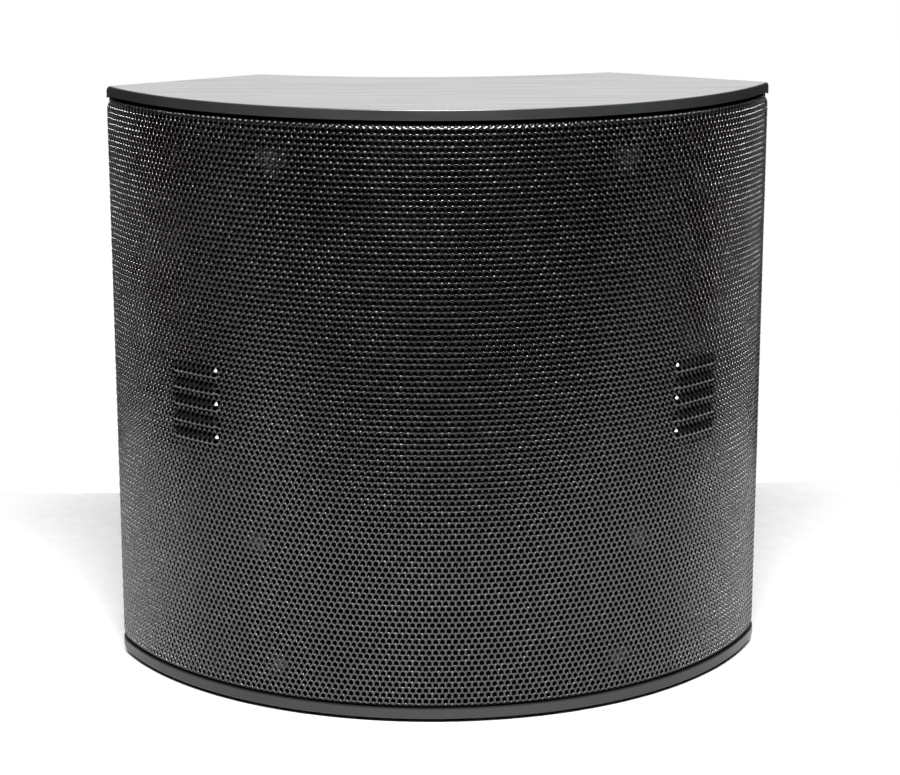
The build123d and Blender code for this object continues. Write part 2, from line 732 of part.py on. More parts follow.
def make_switch_frame(x, z):
    frame = block(x - 11, x + 11, FACE_Y, FACE_Y + 1.2, z - 5, z + 5)
    frame = fillet(frame.edges().filter_by(Axis.Y), 1.5)
    body = block(x - 8, x + 8, SEAT_Y - 7, FACE_Y, z - 3.8, z + 3.8)
    return frame + body - block(x - 6, x + 6, SEAT_Y - 1, FACE_Y + 2, z - 2.2, z + 2.2)


def make_lever(x, z):
    """Square lever of a slide switch, resting at x."""
    lever = block(x - 2, x + 2, SEAT_Y - 0.6, FACE_Y + 4.5, z - 1.8, z + 1.8)
    return chamfer(lever.faces().sort_by(Axis.Y)[-1].edges(), 0.5)


def make_rocker_bezel():
    x, z = ROCKER_AT
    frame = block(x - 12, x + 12, FACE_Y, FACE_Y + 1.8, z - 16, z + 16)
    frame = fillet(frame.edges().filter_by(Axis.Y), 2)
    body = block(x - 10.5, x + 10.5, SEAT_Y - 16, FACE_Y, z - 14, z + 14)
    return frame + body - block(x - 9, x + 9, SEAT_Y - 12, FACE_Y + 3, z - 12.5, z + 12.5)


def rocker_pivot():
    return FACE_Y - 2.0


def make_rocker():
    """Rocker cap with a shallow V face, tilted towards its off side."""
    x, z = ROCKER_AT
    pivot = rocker_pivot()
    side = [(-11.2, 3.4), (-11.2, 6.4), (0, 4.0), (11.2, 6.4), (11.2, 3.4), (5, -4), (-5, -4)]
    outline = make_face(Polyline(*[(py, pz) for pz, py in side], close=True))
    cap = extrude(Plane.YZ * outline, 8.4, both=True)
    cap = Rot(ROCKER_TILT, 0, 0) * cap
    return Pos(x, pivot, z) * cap


def make_jack_panel():
    panel = block(52, 92, FACE_Y, FACE_Y + 1.2, 153, 202)
    panel = fillet(panel.edges().filter_by(Axis.Y), 2)
    body = block(54, 88.5, SEAT_Y - 13, SEAT_Y, 156, 199)
    for x, z in JACK_AT:
        body += rod(x, z, SEAT_Y, FACE_Y, 4.9)
    body += panel
    for x, z in JACK_AT:
        body -= rod(x, z, FACE_Y - 1, FACE_Y + 2, 4.15)
        body -= rod(x, z, SEAT_Y - 14, FACE_Y, 3.2)
    return body


def make_jack_barrel(x, z):
    return ring(x, z, FACE_Y - 1, FACE_Y + 9, 4.15, 3.2)


def make_jack_insert(x, z):
    return rod(x, z, SEAT_Y - 13, FACE_Y + 8, 3.2) - rod(x, z, FACE_Y - 7, FACE_Y + 9, 1.6)


def make_inlet():
    """Fused appliance inlet: a recess for the plug above a bay for the fuse drawer."""
    x, z = INLET_AT
    flange = block(x - 25, x + 25, FACE_Y, FACE_Y + 2.5, z - 21, z + 21)
    flange = fillet(flange.edges().filter_by(Axis.Y), 4)
    body = block(x - 14.5, x + 14.5, SEAT_Y - 18, FACE_Y, z - 18, z + 18)
    recess = block(x - 12, x + 12, SEAT_Y - 14, FACE_Y + 3, z - 2, z + 14.5)
    bay = block(x - 11.3, x + 11.3, SEAT_Y - 15, FACE_Y + 3, z - 15.3, z - 5.7)
    return flange + body - fillet(recess.edges().filter_by(Axis.Y), 3) - bay


def make_inlet_pins():
    x, z = INLET_AT
    spots = [(x - 7, z + 4.5), (x + 7, z + 4.5), (x, z + 8.5)]
    return [block(px - 1, px + 1, SEAT_Y - 14, FACE_Y - 2, pz - 2, pz + 2) for px, pz in spots]


def make_fuse_drawer():
    x, z = INLET_AT
    drawer = block(x - 11, x + 11, SEAT_Y - 14.5, FACE_Y + 2, z - 15, z - 6)
    drawer += block(x - 11, x + 11, FACE_Y + 2, FACE_Y + 3.5, z - 15, z - 6)
    drawer -= block(x - 8, x + 8, SEAT_Y - 12, FACE_Y - 2, z - 12, z - 5)
    return drawer - block(x - 5, x + 5, FACE_Y + 1.5, FACE_Y + 4, z - 7.2, z - 5)


def make_fuse():
    x, z = INLET_AT
    y = SEAT_Y - 5
    return Pos(x, y, z - 9.4) * Rot(0, 90, 0) * Cylinder(2.5, 16)


def make_inlet_screws():
    x, z = INLET_AT
    return [screw(x + side * 20, z, FACE_Y + 2.5, -1, 1.5, 8, 2.8, 1.6) for side in (-1, 1)]


def make_led():
    x, z = LED_AT
    lens = rod(x, z, SEAT_Y - 4, FACE_Y + 0.5, 2.5) + (
        Pos(x, FACE_Y + 0.5, z) * Sphere(2.5) & block(x - 5, x + 5, FACE_Y + 0.5, FACE_Y + 5, z - 5, z + 5)
    )
    return lens


# ---- feet ----
def foot_places():
    return [(side * x, deep(d)) for x, d in FOOT_SPOTS for side in (-1, 1)]


def make_feet():
    feet = []
    for x, y in foot_places():
        foot = chamfer(post(x, y, 0, FOOT_HEIGHT, FOOT_RADIUS).edges().sort_by(Axis.Z)[0], 0.6)
        foot -= post(x, y, -1, 1.6, 5)
        feet.append(foot - post(x, y, 0, FOOT_HEIGHT + 1, 2.2))
    return feet


def make_foot_screws():
    screws = []
    for x, y in foot_places():
        head = post(x, y, 0.6, 1.6, 4)
        screws.append(head + post(x, y, 1.6, ROOM_Z0, 2.2) - block(x - 3, x + 3, y - 0.5, y + 0.5, 0.5, 1.1))
    return screws


def back_screw_solids(recess=True):
    spots = [(side * BACK_SCREW_X, z) for side in (-1, 1) for z in (34.0, 128.0, 222.0, 316.0, 410.0)]
    screws = []
    for x, z in spots:
        y = BACK_ARC_Y - sqrt(BACK_RADIUS**2 - x**2)
        screws.append(screw(x, z, y - 1.2, -1, 2.0, 22, 3.8, 2.2, recess))
    return screws


def save(nodes):
    os.makedirs("parts", exist_ok=True)
    for name, shape in nodes.items():
        solids = shape if isinstance(shape, list) else [shape]
        flat = [solid for item in solids for solid in item.solids()]
        export_step(Compound(children=flat) if len(flat) > 1 else flat[0], f"parts/{name}.step")


def build():
    space = room()
    air = interior(space)
    woofer_screws = woofer_screw_solids()
    cups = make_cups()
    ports = [make_port(side) for side in (-1, 1)]
    amp_screws = amp_screw_solids()
    front_battens = make_front_battens(air)
    rear_battens = make_rear_battens(air)
    back_screws = back_screw_solids()
    back_holes = back_screw_solids(recess=False)
    foot_screws = make_foot_screws()
    pots = spread([VOLUME_AT, CROSSOVER_AT], make_pot)
    switch_frames = spread([PHASE_AT, AUTO_AT], make_switch_frame)
    bezel = make_rocker_bezel()
    inlet_screws = make_inlet_screws()
    inlet = subtract(make_inlet(), inlet_screws)
    jack_panel = make_jack_panel()
    core, pad, washer, bolt = make_toroid()
    led = make_led()
    board, posts = make_board()
    top_plate, magnet, yoke = make_motor()
    former, winding = make_coil()
    cone = make_cone()
    strip, tags = make_terminals()

    shell = make_shell(space)
    for piece in foot_screws:
        shell -= piece
    cup_holes = [rod(x, z, BAFFLE_Y - 1, BAFFLE_Y + 12, 5.5) for x, z in peg_spots()]
    port_holes = [rod(side * PORT_X, PORT_Z, BAFFLE_Y - 1, deep(100), PORT_BORE + PORT_WALL) for side in (-1, 1)]
    plate_cutters = plate_windows() + inlet_screws + amp_screws

    return {
        "outer_shell": shell,
        "front_baffle": make_baffle(space, woofer_screws + cup_holes + port_holes),
        "back_panel": make_back(space, amp_screws + back_holes),
        "front_battens": front_battens,
        "rear_battens": [subtract(batten, back_screws) for batten in rear_battens],
        "brace_shelf": make_shelf(air, front_battens + rear_battens),
        "damping_pads": make_damping(),
        "grille": make_grille(),
        "grille_pegs": make_pegs(),
        "peg_cups": cups,
        "woofer_basket": make_basket(woofer_screws),
        "woofer_top_plate": top_plate,
        "woofer_magnet": magnet,
        "woofer_yoke": yoke,
        "woofer_cone": cone,
        "woofer_surround": make_surround(),
        "woofer_dust_cap": make_dust_cap() - cone,
        "coil_former": former,
        "coil_winding": winding,
        "woofer_spider": make_spider(),
        "woofer_gasket": make_woofer_gasket(woofer_screws),
        "woofer_screws": woofer_screws,
        "terminal_strip": strip,
        "terminal_tags": tags,
        "port_tubes": [tube for tube, flare in ports],
        "port_flares": [flare for tube, flare in ports],
        "amp_plate": make_amp_plate(plate_cutters),
        "amp_tray": make_tray(),
        "amp_screws": amp_screws,
        "heatsink": make_heatsink(),
        "power_board": board,
        "board_posts": posts,
        "capacitors": make_capacitors(),
        "power_devices": make_power_devices(),
        "transformer": core,
        "transformer_washers": [pad, washer],
        "transformer_bolt": bolt,
        "pots": pots,
        "pot_nuts": spread([VOLUME_AT, CROSSOVER_AT], make_pot_nut),
        "volume_shaft": make_shaft(*VOLUME_AT),
        "volume_knob": make_knob(*VOLUME_AT),
        "crossover_shaft": make_shaft(*CROSSOVER_AT),
        "crossover_knob": make_knob(*CROSSOVER_AT),
        "switch_frames": switch_frames,
        "phase_lever": make_lever(PHASE_AT[0] - 2, PHASE_AT[1]),
        "auto_lever": make_lever(*AUTO_AT),
        "rocker_bezel": bezel,
        "power_rocker": make_rocker(),
        "jack_panel": jack_panel,
        "jack_barrels": spread(JACK_AT, make_jack_barrel),
        "jack_inserts": spread(JACK_AT, make_jack_insert),
        "power_inlet": inlet,
        "inlet_pins": make_inlet_pins(),
        "fuse_drawer": make_fuse_drawer(),
        "inlet_screws": inlet_screws,
        "fuse": make_fuse(),
        "status_lens": led,
        "feet": make_feet(),
        "foot_screws": foot_screws,
        "back_screws": back_screws,
    }


def subtract(shape, tools):
    for tool in tools:
        shape -= tool
    return shape


if __name__ == "__main__":
    save(build())
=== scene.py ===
import bpy
import json
import math
import numpy as np
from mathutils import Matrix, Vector


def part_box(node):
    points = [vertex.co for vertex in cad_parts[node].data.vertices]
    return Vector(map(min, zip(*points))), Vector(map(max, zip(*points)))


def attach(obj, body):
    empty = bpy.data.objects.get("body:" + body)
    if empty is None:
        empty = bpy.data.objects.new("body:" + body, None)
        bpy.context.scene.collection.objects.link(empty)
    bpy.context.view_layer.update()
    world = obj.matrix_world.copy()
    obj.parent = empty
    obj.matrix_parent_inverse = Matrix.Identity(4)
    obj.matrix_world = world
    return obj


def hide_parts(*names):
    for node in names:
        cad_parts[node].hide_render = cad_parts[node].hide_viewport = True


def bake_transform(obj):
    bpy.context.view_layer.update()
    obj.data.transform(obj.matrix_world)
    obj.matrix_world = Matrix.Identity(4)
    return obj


# Active subwoofer. Metres, +Z up, the bowed grille looks along -Y.

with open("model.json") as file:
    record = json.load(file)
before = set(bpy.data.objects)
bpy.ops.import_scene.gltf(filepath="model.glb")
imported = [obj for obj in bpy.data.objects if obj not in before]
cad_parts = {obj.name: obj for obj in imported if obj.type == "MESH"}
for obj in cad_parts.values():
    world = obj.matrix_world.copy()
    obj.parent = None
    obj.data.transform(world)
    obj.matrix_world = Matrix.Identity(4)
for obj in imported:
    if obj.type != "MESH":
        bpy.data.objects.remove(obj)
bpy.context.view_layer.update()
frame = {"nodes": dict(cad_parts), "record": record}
MM = 0.001

# ---- sizes shared with the CAD, in millimetres and degrees ----
FRONT_Y = -119.5                # foremost line of the shell
BAFFLE_Y = FRONT_Y + 62.0       # front face of the woofer's flange
FACE_Y = FRONT_Y + 208.0        # outer face of the amplifier plate
ARC_Y = FRONT_Y + 268.5         # centre of the bow
WOOFER_Z = 262.0
SPIDER_Y = BAFFLE_Y + 43.4
GRILLE_RADIUS = 267.5
GRILLE_Z0, GRILLE_Z1 = 11.5, 433.5
SIDE_START = (249.0, 48.6)      # where the side walls begin
SIDE_END = (145.0, 119.5)
CORNER = 10.2                   # grille's corners, seen from the front
SHEET = 1.5                     # thickness of the perforated steel
RIDGE_ANGLE, RIDGE_HALF_SPAN = 43.2, 4.0
RIDGE_PITCH, RIDGE_RADIUS, RIDGE_SINK, RIDGE_COUNT = 12.37, 4.5, 1.5, 5
PEG_SPOTS = [(125.0, 36.0), (125.0, 404.0), (139.0, 124.0)]
JACK_X = 72.0                   # between the red and the white jacks
FUSE_X = -66.0

# ---- sizes of the visual pieces alone, in millimetres and degrees ----
GRILLE_OVERHANG = 1.8           # how far the grille's ends stand out of the side walls' line
BEND = 2.8                      # outer radius of the rolled rim
FLANGE = 13.6                   # sheet beyond the face, measured flat
HOLE_PITCH = 4.7625
HOLE_RADIUS = 1.6
ROLL = [(0.62, 0.0), (0.31, 0.083), (0.083, 0.31)]  # rounded edge of a hole: beyond its radius, depth
EDGE_OVERLAP = 2.75             # how far past the flange's edge a cell's centre may lie
EDGE_MARGIN = 3.4               # no hole has its centre this near that edge
CLOTH = 0.4
CLOTH_GAP = 0.3                 # between the sheet and the cloth
CLOTH_HALF_SPAN = 66.3
CLOTH_INSET = 3.0               # from the grille's top and bottom
CLOTH_COLUMNS, CLOTH_ROWS = 104, 70
PEG_CLEAR = 9.8                 # radius of the opening round each peg
SECTORS = 16                    # of the surround and of the spider
SECTOR_STEPS = 5
PAD = 14.0                      # height of each wadding pad
PAD_COLUMNS, PAD_ROWS = 56, 30
PRINT = 0.12                    # height of the printed marks
RULE = 0.5                      # width of the printed rules


# ---- materials ----
class Look:
    """A Principled material with helpers for the nodes that vary it over the surface."""

    def __init__(self, name, roughness=0.5, metallic=0.0, **sockets):
        self.material = bpy.data.materials.new(name)
        self.material.use_nodes = True
        self.tree = self.material.node_tree
        self.shader = self.tree.nodes["Principled BSDF"]
        self.shader.inputs["Roughness"].default_value = roughness
        self.shader.inputs["Metallic"].default_value = metallic
        for socket, value in sockets.items():
            self.shader.inputs[socket.replace("_", " ")].default_value = value
        self.where = self.add("ShaderNodeTexCoord").outputs["Object"]
        self.bump_normal = None

    def add(self, kind, **settings):
        node = self.tree.nodes.new(kind)
        for key, value in settings.items():
            setattr(node, key, value)
        return node

    def join(self, source, target):
        self.tree.links.new(source, target)

    def placed(self, stretch, turn=(0, 0, 0)):
        mapping = self.add("ShaderNodeMapping")
        mapping.inputs["Scale"].default_value = stretch
        mapping.inputs["Rotation"].default_value = turn
        self.join(self.where, mapping.inputs["Vector"])
        return mapping.outputs["Vector"]

    def noise(self, scale, detail=3.0, rough=0.55, stretch=(1, 1, 1), distortion=0.0):
        node = self.add("ShaderNodeTexNoise")
        node.inputs["Scale"].default_value = scale
        node.inputs["Detail"].default_value = detail
        node.inputs["Roughness"].default_value = rough
        node.inputs["Distortion"].default_value = distortion
        self.join(self.placed(stretch), node.inputs["Vector"])
        return node.outputs["Fac"]

    def cells(self, scale, stretch=(1, 1, 1)):
        node = self.add("ShaderNodeTexVoronoi")
        node.inputs["Scale"].default_value = scale
        self.join(self.placed(stretch), node.inputs["Vector"])
        return node.outputs["Distance"]

    def waves(self, scale, direction):
        node = self.add("ShaderNodeTexWave", bands_direction=direction)
        node.inputs["Scale"].default_value = scale
        self.join(self.placed((1, 1, 1)), node.inputs["Vector"])
        return node.outputs["Fac"]

    def along(self, axis):
        """The surface point's own X, Y or Z in metres."""
        split = self.add("ShaderNodeSeparateXYZ")
        self.join(self.where, split.inputs["Vector"])
        return split.outputs[axis]

    def ramp(self, source, stops):
        node = self.add("ShaderNodeValToRGB")
        while len(node.color_ramp.elements) < len(stops):
            node.color_ramp.elements.new(0.5)
        for element, (at, colour) in zip(node.color_ramp.elements, stops):
            element.position = at
            element.color = (*colour, 1.0)
        self.join(source, node.inputs["Fac"])
        return node.outputs["Color"]

    def spread(self, source, low, high, start=0.3, end=0.7):
        node = self.add("ShaderNodeMapRange")
        node.inputs["From Min"].default_value = start
        node.inputs["From Max"].default_value = end
        node.inputs["To Min"].default_value = low
        node.inputs["To Max"].default_value = high
        self.join(source, node.inputs["Value"])
        return node.outputs["Result"]

    def blend(self, factor, first, second, mode="MIX"):
        node = self.add("ShaderNodeMix", data_type="RGBA", blend_type=mode)
        self.join(factor, node.inputs["Factor"])
        self.join(first, node.inputs["A"])
        self.join(second, node.inputs["B"])
        return node.outputs["Result"]

    def colour(self, source):
        self.join(source, self.shader.inputs["Base Color"])

    def paint(self, source, *stops):
        """Base colour from a ramp of (position, colour) stops."""
        self.colour(self.ramp(source, stops))

    def tone(self, source, colour, change=0.25):
        """Base colour that drifts either side of one colour."""
        dark = tuple(c * (1 - change) for c in colour)
        light = tuple(min(1.0, c * (1 + change)) for c in colour)
        self.paint(source, (0.3, dark), (0.7, light))

    def roughen(self, source, low, high):
        self.join(self.spread(source, low, high), self.shader.inputs["Roughness"])

    def bump(self, source, distance, strength=1.0):
        node = self.add("ShaderNodeBump")
        node.inputs["Strength"].default_value = strength
        node.inputs["Distance"].default_value = distance
        self.join(source, node.inputs["Height"])
        if self.bump_normal is not None:
            self.join(self.bump_normal, node.inputs["Normal"])
        self.bump_normal = node.outputs["Normal"]
        self.join(self.bump_normal, self.shader.inputs["Normal"])


def satin_shell():
    """Sprayed satin black with faint draw lines along the wrap."""
    look = Look("satin_shell", roughness=0.36)
    look.tone(look.noise(22, 4), (0.009, 0.0094, 0.0098), 0.14)
    streaks = look.noise(9, 5, 0.6, stretch=(0.7, 16, 16))
    look.roughen(streaks, 0.31, 0.41)
    look.bump(look.noise(2600, 2), 0.00001, 0.5)
    look.bump(streaks, 0.00012, 0.12)
    return look.material


def powder_grille():
    """Powder coat on perforated steel: fine orange peel and small gloss changes."""
    look = Look("powder_grille", roughness=0.16, Specular_IOR_Level=0.85)
    look.tone(look.noise(35, 3), (0.0009, 0.00088, 0.00085), 0.2)
    look.roughen(look.noise(60, 4), 0.13, 0.19)
    look.bump(look.noise(1500, 3, 0.6), 0.00001, 0.4)
    return look.material


def cloth_painted_shade():
    """Thin black knit that lets sound through, made near-black and without sheen as painted shade for the
    dark inside seen through the holes.
    """
    look = Look("cloth_painted_shade", roughness=0.95, Specular_IOR_Level=0.0)
    weave = look.blend(look.waves(900, "X"), look.waves(900, "Z"), look.noise(700, 3), "MULTIPLY")
    # near-black colour and no specular: painted shade standing in for the dark inside behind the holes
    look.paint(weave, (0.1, (0.0001, 0.0001, 0.0001)), (0.7, (0.0003, 0.0003, 0.0003)))
    look.bump(weave, 0.0001, 0.6)
    return look.material


def stained_board():
    look = Look("stained_board", roughness=0.72)
    fibre = look.noise(420, 6, 0.7, stretch=(1, 3, 1), distortion=0.4)
    dark, middle, light = (0.012, 0.011, 0.01), (0.024, 0.022, 0.02), (0.05, 0.043, 0.035)
    look.paint(fibre, (0.25, dark), (0.62, middle), (0.8, light))
    look.roughen(look.noise(90, 3), 0.62, 0.82)
    look.bump(fibre, 0.00018, 0.5)
    return look.material


def bare_board():
    look = Look("bare_board", roughness=0.85)
    fibre = look.noise(500, 7, 0.72, distortion=0.6)
    look.paint(fibre, (0.2, (0.2, 0.125, 0.068)), (0.5, (0.38, 0.26, 0.155)), (0.8, (0.52, 0.39, 0.25)))
    look.roughen(look.noise(70, 3), 0.75, 0.93)
    look.bump(fibre, 0.0002, 0.6)
    return look.material


def wadding():
    look = Look("wadding", roughness=0.95, Sheen_Weight=0.5, Sheen_Roughness=0.6)
    fluff = look.noise(260, 8, 0.75, distortion=1.5)
    look.paint(fluff, (0.25, (0.5, 0.49, 0.46)), (0.7, (0.86, 0.85, 0.81)))
    look.bump(fluff, 0.0015, 0.8)
    return look.material


def rubber():
    look = Look("rubber", roughness=0.78)
    look.tone(look.noise(60, 4), (0.02, 0.02, 0.0205), 0.3)
    look.roughen(look.noise(150, 3), 0.68, 0.88)
    look.bump(look.noise(1800, 3), 0.00006, 0.6)
    return look.material


def crackle_paint():
    look = Look("crackle_paint", roughness=0.6)
    look.tone(look.noise(120, 4), (0.021, 0.021, 0.022), 0.25)
    look.roughen(look.noise(200, 3), 0.5, 0.7)
    look.bump(look.cells(1400), 0.00015, 0.7)
    return look.material


def steel(name, colour, roughness, stretch=(1, 1, 1), scale=300):
    look = Look(name, roughness=roughness, metallic=1.0)
    lines = look.noise(scale, 5, 0.65, stretch=stretch)
    look.tone(lines, colour, 0.18)
    look.roughen(lines, roughness - 0.09, roughness + 0.12)
    look.bump(lines, 0.00003, 0.5)
    return look.material


def ferrite():
    look = Look("ferrite", roughness=0.62)
    grit = look.noise(700, 6, 0.7)
    dark, middle, light = (0.02, 0.02, 0.022), (0.06, 0.06, 0.063), (0.13, 0.13, 0.13)
    look.paint(grit, (0.3, dark), (0.6, middle), (0.75, light))
    look.bump(grit, 0.00012, 0.6)
    look.roughen(look.noise(120, 3), 0.5, 0.75)
    return look.material


def pulp_cone():
    look = Look("pulp_cone", roughness=0.86)
    fibre = look.noise(650, 7, 0.75, distortion=1.8)
    dark, middle, light = (0.012, 0.012, 0.012), (0.035, 0.034, 0.033), (0.09, 0.088, 0.085)
    look.paint(fibre, (0.3, dark), (0.65, middle), (0.82, light))
    look.bump(fibre, 0.0002, 0.7)
    return look.material


def moulded(name, colour, roughness, grain=2400, change=0.18):
    look = Look(name, roughness=roughness)
    look.tone(look.noise(70, 3), colour, change)
    look.roughen(look.noise(220, 3), max(0.05, roughness - 0.07), roughness + 0.08)
    look.bump(look.noise(grain, 2), 0.00004, 0.5)
    return look.material


def amber_film():
    look = Look("amber_film", roughness=0.25, Coat_Weight=0.4)
    look.paint(look.noise(90, 4), (0.3, (0.3, 0.1, 0.015)), (0.7, (0.5, 0.2, 0.04)))
    look.bump(look.waves(180, "Y"), 0.00005, 0.3)
    return look.material


def copper_winding():
    look = Look("copper_winding", roughness=0.3, metallic=1.0)
    turns = look.waves(700, "Y")
    look.paint(turns, (0.0, (0.2, 0.06, 0.025)), (0.6, (0.75, 0.32, 0.16)))
    look.bump(turns, 0.00025, 0.9)
    return look.material


def spider_cloth():
    look = Look("spider_cloth", roughness=0.9, Sheen_Weight=0.2)
    weave = look.blend(look.waves(420, "X"), look.waves(420, "Z"), look.noise(500, 3), "MULTIPLY")
    look.paint(weave, (0.1, (0.2, 0.12, 0.04)), (0.7, (0.55, 0.4, 0.18)))
    look.bump(weave, 0.0003, 0.8)
    return look.material


def brushed_plate():
    """Black anodised amplifier plate with a fine vertical brush."""
    look = Look("brushed_plate", roughness=0.42, metallic=0.35)
    brush = look.noise(420, 5, 0.7, stretch=(1, 1, 0.02))
    look.tone(brush, (0.03, 0.03, 0.031), 0.3)
    look.roughen(brush, 0.34, 0.52)
    look.bump(brush, 0.00003, 0.5)
    return look.material


def extruded_sink():
    look = Look("extruded_sink", roughness=0.45, metallic=0.5)
    lines = look.noise(600, 4, 0.7, stretch=(1, 1, 0.015))
    look.tone(lines, (0.022, 0.022, 0.023), 0.35)
    look.roughen(lines, 0.36, 0.56)
    look.bump(lines, 0.00006, 0.6)
    return look.material


def circuit_board():
    look = Look("circuit_board", roughness=0.4, Coat_Weight=0.3)
    node = look.add("ShaderNodeTexBrick")
    node.inputs["Color1"].default_value = (0.015, 0.12, 0.05, 1)
    node.inputs["Color2"].default_value = (0.02, 0.16, 0.065, 1)
    node.inputs["Mortar"].default_value = (0.3, 0.26, 0.12, 1)
    node.inputs["Scale"].default_value = 60
    node.inputs["Mortar Size"].default_value = 0.03
    look.join(look.placed((1, 1, 1), (math.pi / 2, 0, 0)), node.inputs["Vector"])
    look.colour(node.outputs["Color"])
    look.bump(node.outputs["Fac"], 0.00005, 0.6)
    look.roughen(look.noise(200), 0.3, 0.5)
    return look.material


def sleeve():
    look = Look("capacitor_sleeve", roughness=0.3, Coat_Weight=0.5)
    stripe = look.waves(12, "Z")
    look.paint(stripe, (0.82, (0.02, 0.03, 0.09)), (0.86, (0.55, 0.57, 0.6)))
    look.roughen(look.noise(180), 0.22, 0.4)
    look.bump(look.noise(500), 0.00008, 0.5)
    return look.material


def wound_tape():
    look = Look("wound_tape", roughness=0.35, Coat_Weight=0.3)
    laps = look.noise(200, 4, 0.6, stretch=(1, 0.3, 1), distortion=0.5)
    look.paint(laps, (0.3, (0.42, 0.36, 0.05)), (0.7, (0.66, 0.58, 0.12)))
    look.bump(look.cells(260, (1, 0.25, 1)), 0.0003, 0.7)
    look.roughen(laps, 0.25, 0.45)
    return look.material


def jack_plastic():
    """Red inserts on the right channel, white on the left, as phono jacks have."""
    look = Look("jack_plastic", roughness=0.4)
    side = look.spread(look.along("X"), 0, 1, (JACK_X - 0.5) * MM, (JACK_X + 0.5) * MM)
    fine = look.noise(300)
    red = look.ramp(fine, [(0.3, (0.42, 0.012, 0.012)), (0.7, (0.6, 0.03, 0.025))])
    white = look.ramp(fine, [(0.3, (0.66, 0.65, 0.62)), (0.7, (0.82, 0.81, 0.78))])
    look.colour(look.blend(side, red, white))
    look.roughen(fine, 0.32, 0.5)
    look.bump(fine, 0.00004, 0.4)
    return look.material


def fuse_glass():
    """Pale, glossy tube with nickel caps at both ends."""
    look = Look("fuse_glass", roughness=0.12, IOR=1.5)
    shift = look.add("ShaderNodeMath", operation="SUBTRACT")
    shift.inputs[1].default_value = FUSE_X * MM
    look.join(look.along("X"), shift.inputs[0])
    away = look.add("ShaderNodeMath", operation="ABSOLUTE")
    look.join(shift.outputs[0], away.inputs[0])
    cap_start, cap_edge = 4.6 * MM, 0.2 * MM
    caps = look.spread(away.outputs[0], 0, 1, cap_start, cap_start + cap_edge)
    fine = look.noise(400)
    metal = look.ramp(fine, [(0.3, (0.6, 0.6, 0.58)), (0.7, (0.8, 0.8, 0.78))])
    glass = look.ramp(fine, [(0.3, (0.75, 0.8, 0.78)), (0.7, (0.85, 0.9, 0.88))])
    look.colour(look.blend(caps, glass, metal))
    look.join(caps, look.shader.inputs["Metallic"])
    look.bump(fine, 0.00003, 0.3)
    return look.material


def tinted_lens():
    look = Look("tinted_lens", roughness=0.12, Coat_Weight=0.6, Subsurface_Weight=0.3)
    look.tone(look.noise(240), (0.08, 0.42, 0.12), 0.2)
    look.roughen(look.noise(300), 0.08, 0.2)
    look.bump(look.noise(900), 0.00003, 0.4)
    return look.material


def white_print():
    look = Look("white_print", roughness=0.6)
    look.tone(look.noise(900, 4), (0.62, 0.62, 0.6), 0.12)
    look.roughen(look.noise(300), 0.5, 0.7)
    look.bump(look.noise(2500), 0.00003, 0.5)
    return look.material


MATERIALS = {
    "shell_paint": satin_shell(),
    "grille_paint": powder_grille(),
    "board": stained_board(),
    "raw_board": bare_board(),
    "wadding": wadding(),
    "rubber": rubber(),
    "basket_paint": crackle_paint(),
    "zinc_steel": steel("zinc_steel", (0.55, 0.56, 0.58), 0.34, (1, 0.2, 1)),
    "dark_steel": steel("dark_steel", (0.07, 0.07, 0.075), 0.4),
    "ferrite": ferrite(),
    "cone_paper": pulp_cone(),
    "cap_plastic": moulded("cap_plastic", (0.016, 0.016, 0.017), 0.2, 1200),
    "kapton": amber_film(),
    "copper": copper_winding(),
    "spider_cloth": spider_cloth(),
    "phenolic": moulded("phenolic", (0.24, 0.13, 0.06), 0.5, 900, 0.3),
    "black_plastic": moulded("black_plastic", (0.022, 0.022, 0.023), 0.5),
    "plate_paint": brushed_plate(),
    "sink_metal": extruded_sink(),
    "tray_plastic": moulded("tray_plastic", (0.1, 0.1, 0.1), 0.55),
    "pcb": circuit_board(),
    "capacitor_sleeve": sleeve(),
    "toroid_tape": wound_tape(),
    "knob_plastic": moulded("knob_plastic", (0.02, 0.02, 0.021), 0.36, 1800),
    "nickel": steel("nickel", (0.74, 0.73, 0.7), 0.2, (1, 0.3, 1), 500),
    "jack_colour": jack_plastic(),
    "glass_fuse": fuse_glass(),
    "led_lens": tinted_lens(),
}
SLOT_OF = {part["node"]: part["material_slot"] for part in frame["record"]["subparts"]}


def dress(piece, slot):
    """Gives the piece the material of a record slot."""
    piece.data.materials.clear()
    piece.data.materials.append(MATERIALS[slot])
    return piece


# the CAD's own nodes wear the material of their record slot
for node_name, node in frame["nodes"].items():
    for material_slot in node.material_slots:
        material_slot.link = "OBJECT"
        material_slot.material = MATERIALS[SLOT_OF[node_name]]


def add_object(name, data):
    """Object that holds the data, linked to the scene."""
    thing = bpy.data.objects.new(name, data)
    bpy.context.scene.collection.objects.link(thing)
    return thing


def bare_piece(name, points, faces):
    """Mesh piece from points in millimetres, with no material yet."""
    mesh = bpy.data.meshes.new(name)
    mesh.from_pydata((np.asarray(points) * MM).tolist(), [], faces)
    mesh.validate()
    return add_object(name, mesh)


def new_piece(name, points, faces, slot):
    """Mesh piece from points in millimetres, in the material of a record slot."""
    return dress(bare_piece(name, points, faces), slot)


def smooth(mesh, crease=None):
    """Smooth shading, with edges that turn by more than crease degrees left sharp."""
    mesh.polygons.foreach_set("use_smooth", np.ones(len(mesh.polygons), bool))
    if crease is not None:
        mesh.set_sharp_from_angle(angle=math.radians(crease))


